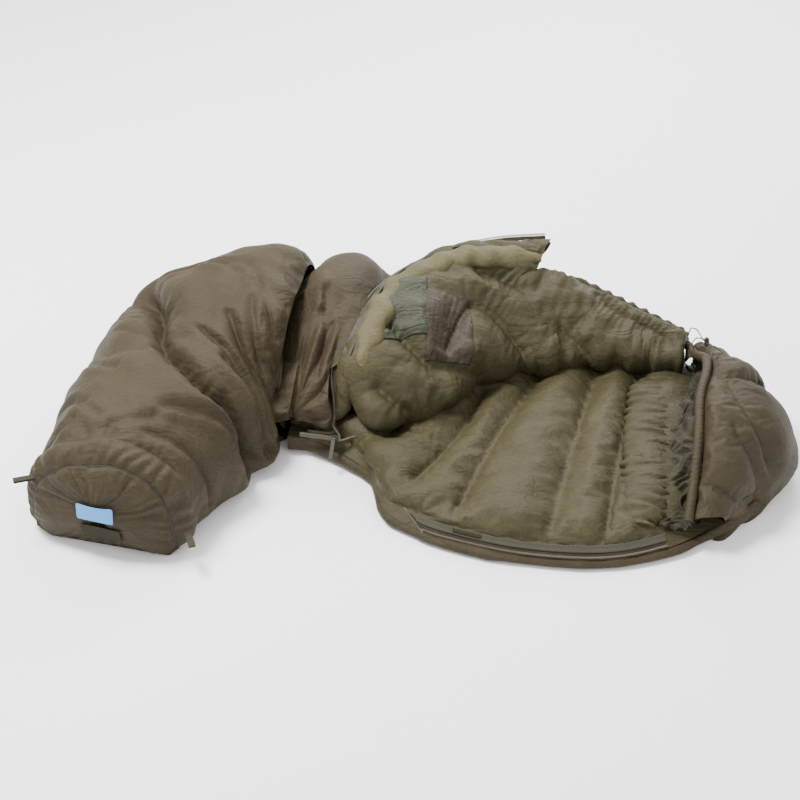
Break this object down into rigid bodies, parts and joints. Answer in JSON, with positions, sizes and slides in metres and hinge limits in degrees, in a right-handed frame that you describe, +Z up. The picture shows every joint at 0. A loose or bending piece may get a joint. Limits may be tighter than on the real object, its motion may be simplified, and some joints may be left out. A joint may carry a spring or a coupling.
{
  "type": "mummy sleeping bag",
  "caption": "Synthetic-fill mummy sleeping bag folded at the knee, with its side zip open, the front quilt turned back to show the quilted lining, and a drawcord hood.",
  "frame": {"origin": "middle of the footprint, on the floor", "axes": "+Z up, +X towards the hood, -Y towards the open zip side"},
  "size_m": [1.7154, 1.0096, 0.3222],
  "materials": {
    "shell_cloth": "matt woven shell cloth",
    "lining_cloth": "soft matt woven lining cloth",
    "fibre_filling": "soft fibre wadding",
    "webbing": "flat woven webbing",
    "blue_tag": "matt printed tag, left blank",
    "woven_label": "woven label, left blank",
    "pocket_cloth": "matt woven cloth",
    "hook_and_loop": "matt hook-and-loop tape",
    "zip_tape": "woven tape",
    "ribbed_facing": "ribbed tape",
    "zip_coil": "satin nylon coil",
    "slider_metal": "satin dark lacquer",
    "lock_plastic": "matt",
    "spring_steel": "plain",
    "cord": "braided round cord"
  },
  "bodies": {
    "bag": {"leg_outer_shell": "shell_cloth", "leg_insulation": "fibre_filling", "leg_lining": "lining_cloth", "foot_end_outer_panel": "shell_cloth", "foot_end_insulation": "fibre_filling", "foot_end_lining": "lining_cloth", "size_tag": "blue_tag", "care_label": "woven_label", "back_outer_shell": "shell_cloth", "back_insulation": "fibre_filling", "back_lining": "lining_cloth", "front_outer_shell": "shell_cloth", "front_insulation": "fibre_filling", "front_lining": "lining_cloth", "upper_neck_baffle": "lining_cloth", "lower_neck_baffle": "lining_cloth", "flap_draft_tube": "lining_cloth", "inner_pocket": "pocket_cloth", "hood_outer_shell": "shell_cloth", "hood_insulation": "fibre_filling", "hood_lining": "lining_cloth", "hood_rim_channel": "shell_cloth", "hood_rim_cord": "cord", "chin_channel": "lining_cloth", "chin_cord": "cord", "chin_outer_roll": "shell_cloth", "hood_hang_loop": "webbing", "hook_and_loop_patch": "hook_and_loop", "zip_tape_front": "zip_tape", "zip_coil_front": "zip_coil", "zip_facing_front": "ribbed_facing", "zip_tape_back": "zip_tape", "zip_coil_back": "zip_coil", "zip_facing_back": "ribbed_facing", "zip_label": "woven_label", "hood_cord_loop": "cord", "neck_cord_loop": "cord", "neck_draw_cord": "cord"},
    "zip_slider": {"zip_slider_body": "slider_metal"},
    "zip_pull": {"zip_pull_tab": "slider_metal"},
    "left_foot_loop": {"foot_loop_left": "webbing"},
    "right_foot_loop": {"foot_loop_right": "webbing"},
    "hood_lock": {"hood_lock_body": "lock_plastic", "hood_lock_spring": "spring_steel"},
    "hood_button": {"hood_lock_button": "lock_plastic"},
    "neck_lock": {"neck_lock_body": "lock_plastic", "neck_lock_spring": "spring_steel"},
    "neck_button": {"neck_lock_button": "lock_plastic"}
  },
  "joints": [
    {"name": "zip_slider_travel", "type": "slide", "parent": "bag", "child": "zip_slider", "axis": [-0.9781, 0.2079, 0], "range_m": [0, 0.06]},
    {"name": "zip_pull_swing", "type": "hinge", "parent": "zip_slider", "child": "zip_pull", "pos_m": [-0.1721, -0.1197, 0.0723], "axis": [0.9781, -0.2079, 0], "range_deg": [-90, 0]},
    {"name": "left_foot_loop_swing", "type": "hinge", "parent": "bag", "child": "left_foot_loop", "pos_m": [-0.8126, -0.3614, 0.15], "axis": [0.2756, -0.9613, 0], "range_deg": [-50, 20]},
    {"name": "right_foot_loop_swing", "type": "hinge", "parent": "bag", "child": "right_foot_loop", "pos_m": [-0.4746, -0.4594, 0.072], "axis": [0.9511, 0.309, 0], "range_deg": [-50, 20]},
    {"name": "hood_lock_travel", "type": "slide", "parent": "bag", "child": "hood_lock", "axis": [0.371, -0.9182, 0.1392], "range_m": [0, 0.02]},
    {"name": "hood_lock_press", "type": "slide", "parent": "hood_lock", "child": "hood_button", "axis": [0.0521, -0.129, -0.9903], "range_m": [0, 0.003], "stiffness_N_per_m": 600},
    {"name": "neck_lock_travel", "type": "slide", "parent": "bag", "child": "neck_lock", "axis": [0.6428, -0.766, 0], "range_m": [0, 0.02]},
    {"name": "neck_lock_press", "type": "slide", "parent": "neck_lock", "child": "neck_button", "axis": [0, 0, -1], "range_m": [0, 0.003], "stiffness_N_per_m": 600}
  ]
}
